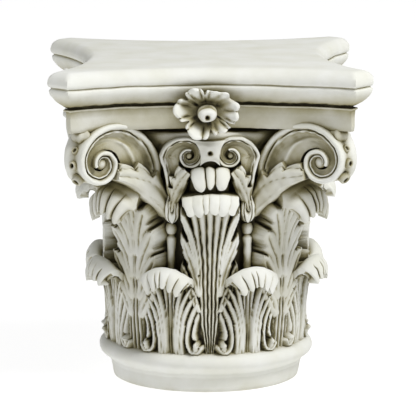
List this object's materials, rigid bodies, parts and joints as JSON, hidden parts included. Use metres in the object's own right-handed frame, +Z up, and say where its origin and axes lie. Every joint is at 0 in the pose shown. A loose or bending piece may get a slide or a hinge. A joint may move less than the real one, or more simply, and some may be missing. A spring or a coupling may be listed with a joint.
{
  "type": "corinthian capital",
  "caption": "Cast stone Corinthian column capital: two rows of acanthus leaves, corner volutes, inner helices, fleurons and a concave-sided moulded abacus on a round bell with a torus foot.",
  "frame": {"origin": "centre of the round underside, at the bottom of the foot", "axes": "+Z up along the bell's axis, -Y out of one face of the abacus, +X to the right of that face"},
  "size_m": [0.35, 0.35, 0.364],
  "materials": {
    "cast_stone": "matte off-white cast stone with an olive-brown wash in the recesses"
  },
  "bodies": {
    "root": {"capital": "cast_stone"}
  },
  "joints": []
}
